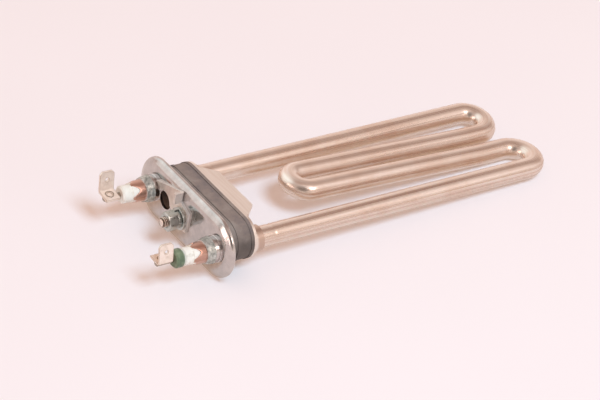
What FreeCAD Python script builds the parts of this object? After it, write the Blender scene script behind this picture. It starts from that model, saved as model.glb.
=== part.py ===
# Water heating element of a front-loading washer, in millimetres.
# The frame: X runs along the straight legs, from the terminals (-X) to the far bends (+X).
# Y runs across the flange, with the far leg at +Y and the near leg at -Y. Z is up.
# The origin is the centre of the flange's rim plane, which seats on the tub's wall.

import FreeCAD, Part
import math
import os
import Sketcher

Vector = FreeCAD.Vector
Rotation = FreeCAD.Rotation
Placement = FreeCAD.Placement

doc = FreeCAD.newDocument("heating_element")

# Driving sizes: alias, value, meaning
DRIVING = [
    ("tube_dia", 8.5, "outer diameter of the sheath"),
    ("tube_wall", 0.5, "wall of the sheath"),
    ("leg_out", 1.9, "outer legs beyond the flange's end centres"),
    ("inner_far_y", 7.0, "inner leg on the far side, distance from the middle"),
    ("inner_near_y", 5.4, "inner leg on the near side, distance from the middle"),
    ("bend_far_x", 145.7, "centre of the far end bend"),
    ("bend_near_x", 148.3, "centre of the near end bend"),
    ("bend_mid_x", 54.1, "centre of the inner bend that faces the flange"),
    ("inner_drop", 1.0, "inner legs below the outer legs at the end bends"),
    ("inner_rise", 2.6, "inner bend above the outer legs"),
    ("ease_run", 8.0, "level run of an inner leg beside its end bend"),
    ("ease_tangent", 3.0, "tangent length of the easy bend where an inner leg starts to rise"),
    ("crown_out", 10.8, "sheath's open end in front of the flange's face"),
    ("notch_depth", 2.9, "depth of the pointed notches in the sheath's open end"),
    ("notch_half", 2.7, "half width of a notch at the sheath's end"),
    ("notch_turn", 49.0, "first notch, turn about the leg in degrees"),
    ("notch_count", 4.0, "notches in each open end"),
    ("flange_r", 12.8, "end radius of the flange"),
    ("flange_half", 20.0, "end centres of the flange, distance from the middle"),
    ("flange_depth", 2.8, "depth of the pressed flange"),
    ("flange_sheet", 1.2, "sheet of the flange"),
    ("slope_in", 3.3, "sloping border of the flange, measured across it"),
    ("slope_back", 1.6, "sloping border of the flange, measured along X"),
    ("face_bend", 3.6, "inner radius of the bend between the flange's face and its slope"),
    ("rim_bend", 0.3, "inner radius of the bend between the flange's slope and its rim"),
    ("collar_r", 5.45, "outer radius of a drawn collar round a leg"),
    ("collar_long", 5.4, "length of a drawn collar"),
    ("collar_round", 0.5, "rounded front edge of a collar"),
    ("sensor_r", 3.8, "radius of the temperature sensor's hole"),
    ("sensor_gap", 9.4, "sensor hole's centre inside the far leg's"),
    ("stud_r", 2.0, "radius of the clamp stud"),
    ("stud_out", 9.8, "stud's end in front of the flange's face"),
    ("stud_clear", 0.25, "radial clearance of the stud in the sheet pieces"),
    ("stud_head_r", 5.0, "radius of the stud's flat head"),
    ("stud_head_thick", 1.5, "thickness of the stud's flat head"),
    ("gasket_r", 8.7, "end radius of the rubber block"),
    ("gasket_short", 1.6, "rubber block's end centres inside the flange's"),
    ("gasket_long", 12.5, "rubber block behind the rim plane"),
    ("front_bead_x", 5.0, "front sealing bead behind the rim plane"),
    ("bead_proud", 0.25, "sealing beads stand proud of the rubber block"),
    ("bead_wide", 1.4, "width of a sealing bead"),
    ("lip_clear", 0.3, "rubber lip inside the flange's wall"),
    ("lip_ease", 0.4, "rubber lip's slope shallower than the flange's, measured along X"),
    ("plate_thick", 1.2, "sheet of the clamp plate"),
    ("plate_in", 0.2, "clamp plate's edge inside the rear bead"),
    ("plate_collar_r", 5.2, "outer radius of a collar of the clamp plate"),
    ("plate_collar_long", 3.6, "length of a collar of the clamp plate"),
    ("plate_clear", 0.15, "radial clearance of a leg in the clamp plate"),
    ("flap_reach", 7.7, "flap's free edge behind the clamp plate's front face"),
    ("flap_short", 0.9, "flap's root inside the plate's end centres"),
    ("flap_cut", 5.5, "cut corners of the flap"),
    ("flap_top", 8.2, "top of the flap above the legs' centres"),
    ("pin_r", 1.25, "radius of a terminal pin"),
    ("pin_in", 25.5, "inner end of a terminal pin"),
    ("pin_flat", 1.0, "flat on the pin's outer end, height above its axis"),
    ("pin_short", 0.6, "pin's outer end inside the terminal's edge"),
    ("coil_r", 1.75, "outer radius of the heating coil"),
    ("coil_lap", 5.0, "coil's overlap on a terminal pin"),
    ("seal_long", 3.0, "length of an end seal"),
    ("seal_depth", 5.5, "end seal's mouth behind the sheath's open end"),
    ("head_r", 3.5, "radius of an insulator's head"),
    ("head_far", 4.3, "length of the far insulator's head"),
    ("head_near", 3.7, "length of the near insulator's head"),
    ("head_chamfer", 0.6, "chamfer of an insulator's head"),
    ("cap_r", 3.7, "radius of the near side's coloured insulating cap"),
    ("cap_long", 3.7, "length of the coloured insulating cap"),
    ("cap_chamfer", 0.7, "chamfer of the coloured insulating cap"),
    ("tab_gap", 1.6, "far terminal in front of its insulator"),
    ("tab_gap_near", 2.0, "near terminal in front of its cap"),
    ("tab_wide", 6.3, "width of a terminal's blade"),
    ("tab_sheet", 0.8, "sheet of a terminal"),
    ("tab_base_half", 3.2, "terminal's base, half width"),
    ("tab_tall", 9.4, "blade's top above the pin's axis"),
    ("tab_hole_r", 0.9, "radius of the blade's latch hole"),
    ("tab_hole_down", 3.3, "latch hole below the blade's top"),
    ("tab_corner", 1.0, "cut corners of the blade"),
    ("tab_bend", 0.3, "inner radius of the fold between base and blade"),
    ("turn_far", 8.0, "turn of the far pin and terminal about the pin's axis, in degrees"),
    ("turn_near", 1.0, "turn of the near pin and terminal about the pin's axis, in degrees"),
    ("lean_far", 2.1, "far blade's top leans outwards from its base"),
    ("lean_near", -1.5, "near blade's top leans outwards from its base, less than 0 is inwards"),
    ("weld_r", 1.1, "radius of the weld dimple in a terminal's base"),
    ("weld_depth", 0.3, "depth of the weld dimple"),
    ("earth_sheet", 1.0, "sheet of the earth tab"),
    ("earth_foot", 4.2, "earth tab's foot, half width round the stud"),
    ("earth_hip", 2.7, "earth tab's side beyond its foot, towards the sensor hole"),
    ("earth_past", 6.4, "earth tab's far corner beyond the sensor hole's centre"),
    ("earth_end_back", 1.7, "earth tab's far end, slant across the flange"),
    ("earth_end_tall", 1.3, "earth tab's far end, height"),
    ("earth_far_z", 5.5, "earth tab's far corner above the middle"),
    ("earth_peak_y", 2.2, "earth tab's highest corner across the flange"),
    ("earth_peak_z", 10.9, "earth tab's highest corner above the middle"),
    ("earth_clear", 0.7, "earth tab's cut-out clear of the sensor hole"),
    ("lug_long", 3.0, "length of the earth tab's turned-out lug"),
    ("lug_tall", 4.6, "height of the earth tab's turned-out lug"),
    ("lug_bend", 0.3, "inner radius of the fold between the earth tab and its lug"),
    ("lug_round", 0.8, "rounded outside of that fold"),
    ("washer_r", 4.5, "outer radius of the plain washer"),
    ("washer_thick", 1.3, "thickness of the plain washer"),
    ("spring_r", 3.6, "outer radius of the spring washer"),
    ("spring_thick", 1.5, "thickness of the spring washer"),
    ("spring_slit", 0.8, "slit of the spring washer"),
    ("nut_flat", 7.0, "nut across its flats"),
    ("nut_thick", 4.0, "thickness of the nut"),
    ("nut_chamfer", 0.8, "turned-down corners of the nut's outer side, along the stud"),
    ("tip_chamfer", 0.5, "chamfer of the stud's and the pins' ends"),
]

# Worked-out sizes: alias, formula on the driving sizes
DERIVED = [
    ("tube_r", "tube_dia / 2"),
    ("leg_y", "flange_half + leg_out"),
    ("sensor_y", "leg_y - sensor_gap"),
    ("gasket_half", "flange_half - gasket_short"),
    ("flap_root_half", "gasket_half - flap_short"),
    ("bore_r", "tube_r - tube_wall"),
    ("face_x", "-flange_depth"),
    ("cup_x", "flange_sheet - flange_depth"),
    ("cup_r", "flange_r - flange_sheet"),
    ("slope_long", "sqrt(slope_in ^ 2 + slope_back ^ 2)"),
    ("slope_step", "flange_sheet * (slope_long - slope_back) / slope_in - flange_sheet"),
    ("cup_slope_x", "cup_x + slope_back + slope_step"),
    ("cup_slope_back", "cup_slope_x - cup_x"),
    ("cup_slope_in", "cup_slope_back * slope_in / slope_back"),
    ("face_bend_out", "face_bend + flange_sheet"),
    ("rim_bend_out", "rim_bend + flange_sheet"),
    ("crown_x", "face_x - crown_out"),
    ("notch_x", "crown_x + notch_depth"),
    ("seal_x", "crown_x + seal_depth"),
    ("fill_x", "seal_x + seal_long"),
    ("coil_x", "pin_in - coil_lap"),
    ("lip_r", "cup_r - lip_clear"),
    ("lip_slope_back", "slope_back - lip_ease"),
    ("bead_r", "gasket_r + bead_proud"),
    ("rear_bead_x", "gasket_long - bead_wide"),
    ("plate_r", "bead_r - plate_in"),
    ("plate_x", "gasket_long + plate_thick"),
    ("leg_clear_r", "tube_r + plate_clear"),
    ("stud_hole_r", "stud_r + stud_clear"),
    ("stud_tip_x", "face_x - stud_out"),
    ("flap_x", "gasket_long + flap_reach"),
    ("flap_z", "flap_top - plate_thick"),
    ("flap_free_half", "flap_root_half - flap_cut"),
    ("flap_cut_x", "flap_x - flap_cut"),
    ("head_far_x", "crown_x - head_far"),
    ("head_near_x", "crown_x - head_near"),
    ("cap_x", "head_near_x - cap_long"),
    ("tab_far_x", "head_far_x - tab_gap - tab_wide"),
    ("tab_near_x", "cap_x - tab_gap_near - tab_wide"),
    ("tab_floor_z", "pin_flat + tab_sheet"),
    ("tab_wall_y", "tab_base_half - tab_sheet"),
    ("tab_mid", "tab_wide / 2"),
    ("tab_hole_z", "tab_tall - tab_hole_down"),
    ("tab_fold_out", "tab_bend + tab_sheet"),
    ("tab_top_wall_far", "tab_wall_y + lean_far"),
    ("tab_top_edge_far", "tab_base_half + lean_far"),
    ("tab_top_wall_near", "tab_wall_y + lean_near"),
    ("tab_top_edge_near", "tab_base_half + lean_near"),
    ("earth_x", "face_x - earth_sheet"),
    ("earth_hole_r", "sensor_r + earth_clear"),
    ("earth_hip_y", "earth_foot + earth_hip"),
    ("earth_far_y", "sensor_y + earth_past"),
    ("earth_low_y", "earth_far_y - earth_end_back"),
    ("earth_low_z", "earth_far_z - earth_end_tall"),
    ("earth_turn_y", "earth_peak_y - earth_sheet"),
    ("earth_turn_z", "earth_peak_z - lug_tall"),
    ("washer_x", "earth_x - washer_thick"),
    ("spring_x", "washer_x - spring_thick"),
    ("nut_x", "spring_x - nut_thick"),
    ("nut_corner_r", "nut_flat / sqrt(3)"),
    ("nut_face_r", "nut_flat / 2"),
    ("nut_past_r", "nut_corner_r + nut_chamfer"),
    ("nut_bevel_x", "nut_x + nut_chamfer"),
]

sheet = doc.addObject("Spreadsheet::Sheet", "sizes")
row = 1
for alias, value, meaning in DRIVING:
    sheet.set(f"A{row}", meaning)
    sheet.set(f"B{row}", str(value))
    sheet.setAlias(f"B{row}", alias)
    row += 1
doc.recompute()
for alias, formula in DERIVED:
    sheet.set(f"A{row}", alias.replace("_", " "))
    sheet.set(f"B{row}", "=" + formula)
    sheet.setAlias(f"B{row}", alias)
    row += 1
doc.recompute()


def size(name):
    """The value of a cell, by its alias, with an optional minus sign."""
    if name == "0":
        return 0.0
    if name.startswith("-"):
        return -size(name[1:])
    return float(getattr(sheet, name))


def formula_of(name):
    """The expression that reads a cell, by its alias, with an optional minus sign."""
    if name.startswith("-"):
        return "-sizes." + name[1:]
    return "sizes." + name


# Bodies and sketches. In a sketch's constraints, geometry -1 is the horizontal axis, whose
# point 1 is the origin, and geometry -2 is the vertical axis.


def new_body(label):
    body = doc.addObject("PartDesign::Body", label)
    body.Label = label
    return body


def sketch_on(body, name, role, offset="0"):
    """A sketch on an origin plane of its body, moved along the plane's normal by a size."""
    sketch = body.newObject("Sketcher::SketchObject", name)
    plane = [feature for feature in body.Origin.OriginFeatures if feature.Role == role][0]
    sketch.AttachmentSupport = [(plane, "")]
    sketch.MapMode = "FlatFace"
    if offset != "0":
        sketch.setExpression("AttachmentOffset.Base.z", formula_of(offset))
    return sketch


def bind(sketch, kind, references, name):
    """A dimension in a sketch, held at the size that an alias names."""
    value = size(name)
    index = sketch.addConstraint(Sketcher.Constraint(kind, *references, abs(value)))
    source = formula_of(name)
    if value < 0:
        source = f"-({source})"
    sketch.setExpression(f"Constraints[{index}]", source)


def place_point(sketch, geometry, point, across, up):
    """Holds a point at two sizes from the sketch's origin."""
    for kind, axis, name in (("DistanceX", -2, across), ("DistanceY", -1, up)):
        if name == "0":
            sketch.addConstraint(Sketcher.Constraint("PointOnObject", geometry, point, axis))
        elif size(name) < 0:
            bind(sketch, kind, (geometry, point, -1, 1), name)
        else:
            bind(sketch, kind, (-1, 1, geometry, point), name)


def draw_circle(sketch, across, up, radius):
    centre = Vector(size(across), size(up), 0)
    index = sketch.addGeometry(Part.Circle(centre, Vector(0, 0, 1), size(radius)))
    bind(sketch, "Radius", (index,), radius)
    place_point(sketch, index, 3, across, up)


def draw_outline(sketch, corners):
    """A closed outline of straight edges through corners given as pairs of sizes."""
    points = [Vector(size(across), size(up), 0) for across, up in corners]
    first = sketch.GeometryCount
    for index, point in enumerate(points):
        following = points[(index + 1) % len(points)]
        sketch.addGeometry(Part.LineSegment(point, following))
    for index, (across, up) in enumerate(corners):
        following = first + (index + 1) % len(points)
        sketch.addConstraint(Sketcher.Constraint("Coincident", first + index, 2, following, 1))
        place_point(sketch, first + index, 1, across, up)


def draw_stadium(sketch, radius, half):
    """A stadium along the sketch's first axis: two half rounds joined by tangents."""
    r, c = size(radius), size(half)
    top = sketch.addGeometry(Part.LineSegment(Vector(-c, r, 0), Vector(c, r, 0)))
    right_circle = Part.Circle(Vector(c, 0, 0), Vector(0, 0, 1), r)
    right = sketch.addGeometry(Part.ArcOfCircle(right_circle, -math.pi / 2, math.pi / 2))
    bottom = sketch.addGeometry(Part.LineSegment(Vector(c, -r, 0), Vector(-c, -r, 0)))
    left_circle = Part.Circle(Vector(-c, 0, 0), Vector(0, 0, 1), r)
    left = sketch.addGeometry(Part.ArcOfCircle(left_circle, math.pi / 2, 3 * math.pi / 2))
    joints = ((top, 2, right, 2), (right, 1, bottom, 1), (bottom, 2, left, 2), (left, 1, top, 1))
    for joint in joints:
        sketch.addConstraint(Sketcher.Constraint("Tangent", *joint))
    place_point(sketch, right, 3, half, "0")
    place_point(sketch, left, 3, "-" + half, "0")
    bind(sketch, "Radius", (right,), radius)


def pad(body, sketch, length, back=False):
    """Raises a sketch along its plane's normal, or against it."""
    feature = body.newObject("PartDesign::Pad", sketch.Name + "_pad")
    feature.Profile = sketch
    feature.setExpression("Length", formula_of(length))
    feature.Reversed = back
    doc.recompute()
    return feature


def pocket(body, sketch, length=None, back=False):
    """Cuts through everything, or for a length along the plane's normal or against it."""
    before = body.Shape.Volume
    feature = body.newObject("PartDesign::Pocket", sketch.Name + "_pocket")
    feature.Profile = sketch
    if length is None:
        feature.Type = "ThroughAll"
        feature.Midplane = True
    else:
        feature.setExpression("Length", formula_of(length))
        feature.Reversed = not back
    doc.recompute()
    if body.Shape.Volume >= before - 1e-6:
        raise RuntimeError(f"{body.Label}: {sketch.Name} cuts nothing")
    return feature


def round_edges(body, name, radius, chosen, kind="Fillet"):
    """Fillets or chamfers the edges that a test chooses."""
    tip = body.Tip
    names = [f"Edge{i + 1}" for i, edge in enumerate(tip.Shape.Edges) if chosen(edge)]
    if not names:
        raise RuntimeError(f"{body.Label}: {name} finds no edge")
    feature = body.newObject("PartDesign::" + kind, name)
    feature.Base = (tip, names)
    feature.setExpression("Radius" if kind == "Fillet" else "Size", formula_of(radius))
    doc.recompute()
    return feature


def slope_edges(body, name, across, along, chosen):
    """Bevels the edges that a test chooses by two sizes, one on each face."""
    feature = round_edges(body, name, along, chosen, "Chamfer")
    feature.ChamferType = "Two distances"
    feature.setExpression("Size2", formula_of(across))
    doc.recompute()
    return feature


def near(value, target):
    """True where two lengths agree as closely as a model's edges do."""
    tolerance = 0.02
    return abs(value - target) < tolerance


def lies_at_x(edge, x):
    """True for an edge that lies whole in the plane at x."""
    box = edge.BoundBox
    return near(box.XMin, x) and near(box.XMax, x)


def reach_from(edge, y, z):
    """The greatest distance of an edge's ends and middle from a line along X."""
    middle = edge.valueAt((edge.FirstParameter + edge.LastParameter) / 2)
    points = [vertex.Point for vertex in edge.Vertexes] + [middle]
    return max(math.hypot(point.y - y, point.z - z) for point in points)


LEGS = {"far": "leg_y", "near": "-leg_y"}


# Sheath: one thin tube, bent into two outer legs and a closer inner loop.
# The inner loop leaves its end bends level and rises a little towards the flange.

def corner_arc(before, corner, after, tangent):
    """The arc that rounds a shallow corner, with its two tangent points."""
    back = (before - corner).normalize()
    ahead = (after - corner).normalize()
    start = corner + back * tangent
    end = corner + ahead * tangent
    half = back.getAngle(ahead) / 2
    radius = tangent * math.tan(half)
    inward = (back + ahead).normalize()
    middle = corner + inward * (tangent / math.cos(half) - radius)
    return start, Part.Arc(start, middle, end).toShape(), end


def element_path(start_x):
    """The centreline from start_x on the far leg round to start_x on the near leg."""
    leg = size("leg_y")
    far, near_y = size("inner_far_y"), -size("inner_near_y")
    far_x, near_x, mid_x = size("bend_far_x"), size("bend_near_x"), size("bend_mid_x")
    drop, rise = -size("inner_drop"), size("inner_rise")
    ease_x = min(far_x, near_x) - size("ease_run")
    tangent = size("ease_tangent")

    def half_round(first, last, away):
        centre = (first + last) * 0.5
        return Part.Arc(first, centre + away * (first - last).Length * 0.5, last).toShape()

    def line(first, last):
        return Part.LineSegment(first, last).toShape()

    x_dir = Vector(1, 0, 0)
    far_start, far_end = Vector(start_x, leg, 0), Vector(far_x, leg, 0)
    inner_far = Vector(far_x, far, drop)
    far_ease, far_mid = Vector(ease_x, far, drop), Vector(mid_x, far, rise)
    near_mid, near_ease = Vector(mid_x, near_y, rise), Vector(ease_x, near_y, drop)
    inner_near = Vector(near_x, near_y, drop)
    near_end, near_start = Vector(near_x, -leg, 0), Vector(start_x, -leg, 0)
    slope = (far_mid - far_ease).normalize()
    far_in, far_arc, far_out = corner_arc(inner_far, far_ease, far_mid, tangent)
    near_in, near_arc, near_out = corner_arc(near_mid, near_ease, inner_near, tangent)
    edges = [
        line(far_start, far_end),
        half_round(far_end, inner_far, x_dir),
        line(inner_far, far_in),
        far_arc,
        line(far_out, far_mid),
        half_round(far_mid, near_mid, slope),
        line(near_mid, near_in),
        near_arc,
        line(near_out, inner_near),
        half_round(inner_near, near_end, x_dir),
        line(near_end, near_start),
    ]
    return Part.Wire(edges)


def rod_along(path, radius, start_x):
    """A round rod of constant section along the centreline."""
    start = Vector(start_x, size("leg_y"), 0)
    circle = Part.Circle(start, Vector(1, 0, 0), radius).toShape()
    rod = path.makePipe(Part.Face(Part.Wire(circle)))
    expected = math.pi * radius ** 2 * path.Length
    if abs(rod.Volume - expected) > 0.002 * expected:
        raise RuntimeError(f"swept rod of radius {radius}: {rod.Volume} is not {expected}")
    return rod


def leg_rod(side, radius, first_x, last_x):
    """A straight round rod on the centre of an outer leg."""
    base = Vector(first_x, size(LEGS[side]), 0)
    return Part.makeCylinder(radius, last_x - first_x, base, Vector(1, 0, 0))


def notch_cutter(side, turn):
    """A radial wedge, pointed away from the sheath's open end and as long again before it."""
    reach = size("tube_dia")
    depth = size("notch_depth")
    half = size("notch_half") * 2
    tip, mouth = size("notch_x"), size("crown_x") - depth
    corners = [Vector(tip, 0, 0), Vector(mouth, half, 0), Vector(mouth, -half, 0)]
    wedge = Part.Face(Part.makePolygon(corners + corners[:1])).extrude(Vector(0, 0, reach))
    wedge.Placement = Placement(Vector(0, size(LEGS[side]), 0), Rotation(Vector(1, 0, 0), turn))
    return wedge


def add_feature(label, shape):
    feature = doc.addObject("Part::Feature", label)
    feature.Label = label
    feature.Shape = shape
    feature.Placement = Placement()
    return feature


tube_path = element_path(size("crown_x"))
sheath = rod_along(tube_path, size("tube_r"), size("crown_x"))
sheath = sheath.cut(rod_along(tube_path, size("bore_r"), size("crown_x")))
notches = round(size("notch_count"))
for side in LEGS:
    for index in range(notches):
        sheath = sheath.cut(notch_cutter(side, size("notch_turn") + index * 360 / notches))
sheath_tube = add_feature("sheath_tube", sheath)

# Inside the sheath: a heating coil in packed magnesia, with a pin pushed into each coil end.
# The coil is its own envelope, wire and the powder in its middle together.

coil_path = element_path(size("coil_x"))
coil_rod = rod_along(coil_path, size("coil_r"), size("coil_x"))
filling = rod_along(element_path(size("fill_x")), size("bore_r"), size("fill_x")).cut(coil_rod)
coil = coil_rod
for side in LEGS:
    filling = filling.cut(leg_rod(side, size("pin_r"), size("fill_x"), size("coil_x")))
    coil = coil.cut(leg_rod(side, size("pin_r"), size("coil_x"), size("pin_in")))
magnesia_filling = add_feature("magnesia_filling", filling)
heating_coil = add_feature("heating_coil", coil)


# Terminal pins: plain rods, flat on top at the outer end where the terminal is welded on.
# A pin and its terminal are turned a little about the pin's axis, as they were welded.

def turn_about_pin(body, side):
    """Places a body on its leg's axis, turned about it."""
    body.Placement = Placement(Vector(0, 0, 0), Rotation(Vector(1, 0, 0), 1))
    body.setExpression("Placement.Base.y", formula_of(LEGS[side]))
    body.setExpression("Placement.Rotation.Angle", formula_of("turn_" + side))

def terminal_pin(side):
    body = new_body("terminal_pin_" + side)
    outer = "tab_" + side + "_x"
    turn_about_pin(body, side)
    length = f"sizes.pin_in - sizes.{outer} - sizes.pin_short"
    section = sketch_on(body, "pin_section_" + side, "YZ_Plane", "pin_in")
    draw_circle(section, "0", "0", "pin_r")
    rod = pad(body, section, "pin_in", back=True)
    rod.setExpression("Length", length)
    doc.recompute()
    tip_x = size(outer) + size("pin_short")
    round_edges(body, "pin_tip_" + side, "tip_chamfer", lambda edge: lies_at_x(edge, tip_x), "Chamfer")
    flat = sketch_on(body, "pin_flat_" + side, "YZ_Plane", outer)
    draw_outline(flat, [("-pin_r", "pin_flat"), ("pin_r", "pin_flat"),
                        ("pin_r", "tab_floor_z"), ("-pin_r", "tab_floor_z")])
    pocket(body, flat, "tab_wide")
    return body


# End seals: short rings of sealing compound between the magnesia and the insulators.

def end_seal(side):
    body = new_body("end_seal_" + side)
    body.setExpression("Placement.Base.y", formula_of(LEGS[side]))
    section = sketch_on(body, "seal_section_" + side, "YZ_Plane", "seal_x")
    draw_circle(section, "0", "0", "bore_r")
    draw_circle(section, "0", "0", "pin_r")
    pad(body, section, "seal_long")
    return body


# Ceramic insulators: a spigot in the sheath's open end and a thinner, chamfered head before it.

def insulator(side):
    body = new_body("insulator_" + side)
    body.setExpression("Placement.Base.y", formula_of(LEGS[side]))
    head = sketch_on(body, "head_section_" + side, "YZ_Plane", "crown_x")
    draw_circle(head, "0", "0", "head_r")
    pad(body, head, "head_" + side, back=True)
    end_x = size("crown_x") - size("head_" + side)
    round_edges(body, "head_chamfer_" + side, "head_chamfer", lambda edge: lies_at_x(edge, end_x), "Chamfer")
    spigot = sketch_on(body, "spigot_section_" + side, "YZ_Plane", "crown_x")
    draw_circle(spigot, "0", "0", "bore_r")
    pad(body, spigot, "seal_depth")
    hole = sketch_on(body, "pin_hole_" + side, "YZ_Plane")
    draw_circle(hole, "0", "0", "pin_r")
    pocket(body, hole)
    return body


# Terminals: sheet folded to a base, welded on the pin's flat, and an upright blade.

def terminal_tab(side):
    body = new_body("terminal_tab_" + side)
    turn_about_pin(body, side)
    body.setExpression("Placement.Base.x", formula_of("tab_" + side + "_x"))
    out, back = ("", "-") if side == "far" else ("-", "")
    fold = sketch_on(body, "fold_" + side, "YZ_Plane")
    draw_outline(fold, [(back + "tab_base_half", "pin_flat"),
                        (out + "tab_base_half", "pin_flat"),
                        (out + "tab_top_edge_" + side, "tab_tall"),
                        (out + "tab_top_wall_" + side, "tab_tall"),
                        (out + "tab_wall_y", "tab_floor_z"),
                        (back + "tab_base_half", "tab_floor_z")])
    pad(body, fold, "tab_wide")

    def fold_line(edge, y, z):
        return near(edge.BoundBox.XLength, size("tab_wide")) and near(reach_from(edge, y, z), 0)

    inside = (size(out + "tab_wall_y"), size("tab_floor_z"))
    outside = (size(out + "tab_base_half"), size("pin_flat"))
    round_edges(body, "fold_inside_" + side, "tab_bend", lambda edge: fold_line(edge, *inside))
    round_edges(body, "fold_outside_" + side, "tab_fold_out", lambda edge: fold_line(edge, *outside))

    def blade_corner(edge):
        box = edge.BoundBox
        return near(box.ZMin, size("tab_tall")) and near(box.XLength, 0)

    round_edges(body, "blade_corners_" + side, "tab_corner", blade_corner, "Chamfer")
    latch = sketch_on(body, "latch_hole_" + side, "XZ_Plane")
    draw_circle(latch, "tab_mid", "tab_hole_z", "tab_hole_r")
    pocket(body, latch)
    weld = sketch_on(body, "weld_" + side, "XY_Plane", "tab_floor_z")
    draw_circle(weld, "tab_mid", "0", "weld_r")
    pocket(body, weld, "weld_depth", back=True)
    return body


pins = {side: terminal_pin(side) for side in LEGS}
seals = {side: end_seal(side) for side in LEGS}
insulators = {side: insulator(side) for side in LEGS}
tabs = {side: terminal_tab(side) for side in LEGS}

# Coloured insulating cap, on the near side only.

insulator_cap = new_body("insulator_cap_near")
insulator_cap.setExpression("Placement.Base.y", formula_of(LEGS["near"]))
cap_section = sketch_on(insulator_cap, "cap_section", "YZ_Plane", "head_near_x")
draw_circle(cap_section, "0", "0", "cap_r")
draw_circle(cap_section, "0", "0", "pin_r")
pad(insulator_cap, cap_section, "cap_long", back=True)


def cap_end(edge):
    return near(reach_from(edge, 0, 0), size("cap_r")) and near(edge.BoundBox.XLength, 0)


round_edges(insulator_cap, "cap_ends", "cap_chamfer", cap_end, "Chamfer")

# Flange: a stadium pressed from sheet, with a flat face, a sloping border and a short rim.
# A collar is drawn forwards round each leg, and the middle carries the stud and the sensor.

flange = new_body("flange_plate")
outline = sketch_on(flange, "flange_outline", "YZ_Plane")
draw_stadium(outline, "flange_r", "flange_half")
pad(flange, outline, "flange_depth", back=True)
slope_edges(flange, "border_slope", "slope_in", "slope_back", lambda edge: lies_at_x(edge, size("face_x")))
slope_end_x = size("face_x") + size("slope_back")
round_edges(flange, "face_to_slope", "face_bend_out", lambda edge: lies_at_x(edge, size("face_x")))
round_edges(flange, "slope_to_rim", "rim_bend_out", lambda edge: lies_at_x(edge, slope_end_x))
cup = sketch_on(flange, "cup_outline", "YZ_Plane")
draw_stadium(cup, "cup_r", "flange_half")
cup_pocket = pocket(flange, cup, "flange_depth", back=True)
cup_pocket.setExpression("Length", "-sizes.cup_x")
doc.recompute()
slope_edges(flange, "cup_slope", "cup_slope_in", "cup_slope_back",
            lambda edge: lies_at_x(edge, size("cup_x")))
round_edges(flange, "cup_floor", "face_bend", lambda edge: lies_at_x(edge, size("cup_x")))
collars = sketch_on(flange, "collar_rings", "YZ_Plane", "face_x")
for leg in LEGS.values():
    draw_circle(collars, leg, "0", "collar_r")
pad(flange, collars, "collar_long", back=True)
collar_front_x = size("face_x") - size("collar_long")
round_edges(flange, "collar_fronts", "collar_round", lambda edge: lies_at_x(edge, collar_front_x))
flange_holes = sketch_on(flange, "flange_holes", "YZ_Plane")
for leg in LEGS.values():
    draw_circle(flange_holes, leg, "0", "tube_r")
draw_circle(flange_holes, "0", "0", "stud_hole_r")
draw_circle(flange_holes, "sensor_y", "0", "sensor_r")
pocket(flange, flange_holes)

# Gasket: a rubber block that swells when the stud is tightened, with two sealing beads
# and a lip that fills the flange's cup.

gasket = new_body("rubber_gasket")
lip = sketch_on(gasket, "lip_outline", "YZ_Plane")
draw_stadium(lip, "lip_r", "flange_half")
lip_pad = pad(gasket, lip, "flange_depth", back=True)
lip_pad.setExpression("Length", "-sizes.cup_x")
doc.recompute()
slope_edges(gasket, "lip_slope", "slope_in", "lip_slope_back", lambda edge: lies_at_x(edge, size("cup_x")))
block = sketch_on(gasket, "block_outline", "YZ_Plane")
draw_stadium(block, "gasket_r", "gasket_half")
pad(gasket, block, "gasket_long")
for place in ("front_bead_x", "rear_bead_x"):
    bead = sketch_on(gasket, place + "_outline", "YZ_Plane", place)
    draw_stadium(bead, "bead_r", "gasket_half")
    pad(gasket, bead, "bead_wide")
gasket_holes = sketch_on(gasket, "gasket_holes", "YZ_Plane")
for leg in LEGS.values():
    draw_circle(gasket_holes, leg, "0", "tube_r")
draw_circle(gasket_holes, "0", "0", "stud_r")
draw_circle(gasket_holes, "sensor_y", "0", "sensor_r")
pocket(gasket, gasket_holes)

# Clamp plate: sheet behind the rubber, drawn out round the legs, with a stiffening flap.

clamp = new_body("clamp_plate")
plate = sketch_on(clamp, "plate_outline", "YZ_Plane", "gasket_long")
draw_stadium(plate, "plate_r", "gasket_half")
pad(clamp, plate, "plate_thick")
flap = sketch_on(clamp, "flap_outline", "XY_Plane", "flap_z")
draw_outline(flap, [("gasket_long", "-flap_root_half"), ("flap_cut_x", "-flap_root_half"),
                    ("flap_x", "-flap_free_half"), ("flap_x", "flap_free_half"),
                    ("flap_cut_x", "flap_root_half"), ("gasket_long", "flap_root_half")])
pad(clamp, flap, "plate_thick")
plate_collars = sketch_on(clamp, "plate_collars", "YZ_Plane", "plate_x")
for leg in LEGS.values():
    draw_circle(plate_collars, leg, "0", "plate_collar_r")
pad(clamp, plate_collars, "plate_collar_long")
plate_holes = sketch_on(clamp, "plate_holes", "YZ_Plane")
for leg in LEGS.values():
    draw_circle(plate_holes, leg, "0", "leg_clear_r")
draw_circle(plate_holes, "0", "0", "stud_hole_r")
draw_circle(plate_holes, "sensor_y", "0", "sensor_r")
pocket(clamp, plate_holes)

# Stud: its head bears on the back of the clamp plate, its end stands out of the flange.

stud = new_body("clamp_stud")
shank = sketch_on(stud, "shank_section", "YZ_Plane", "plate_x")
draw_circle(shank, "0", "0", "stud_r")
shank_pad = pad(stud, shank, "stud_out", back=True)
shank_pad.setExpression("Length", "sizes.plate_x - sizes.stud_tip_x")
doc.recompute()
round_edges(stud, "stud_tip", "tip_chamfer", lambda edge: lies_at_x(edge, size("stud_tip_x")), "Chamfer")
stud_head = sketch_on(stud, "head_section", "YZ_Plane", "plate_x")
draw_circle(stud_head, "0", "0", "stud_head_r")
pad(stud, stud_head, "stud_head_thick")

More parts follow.
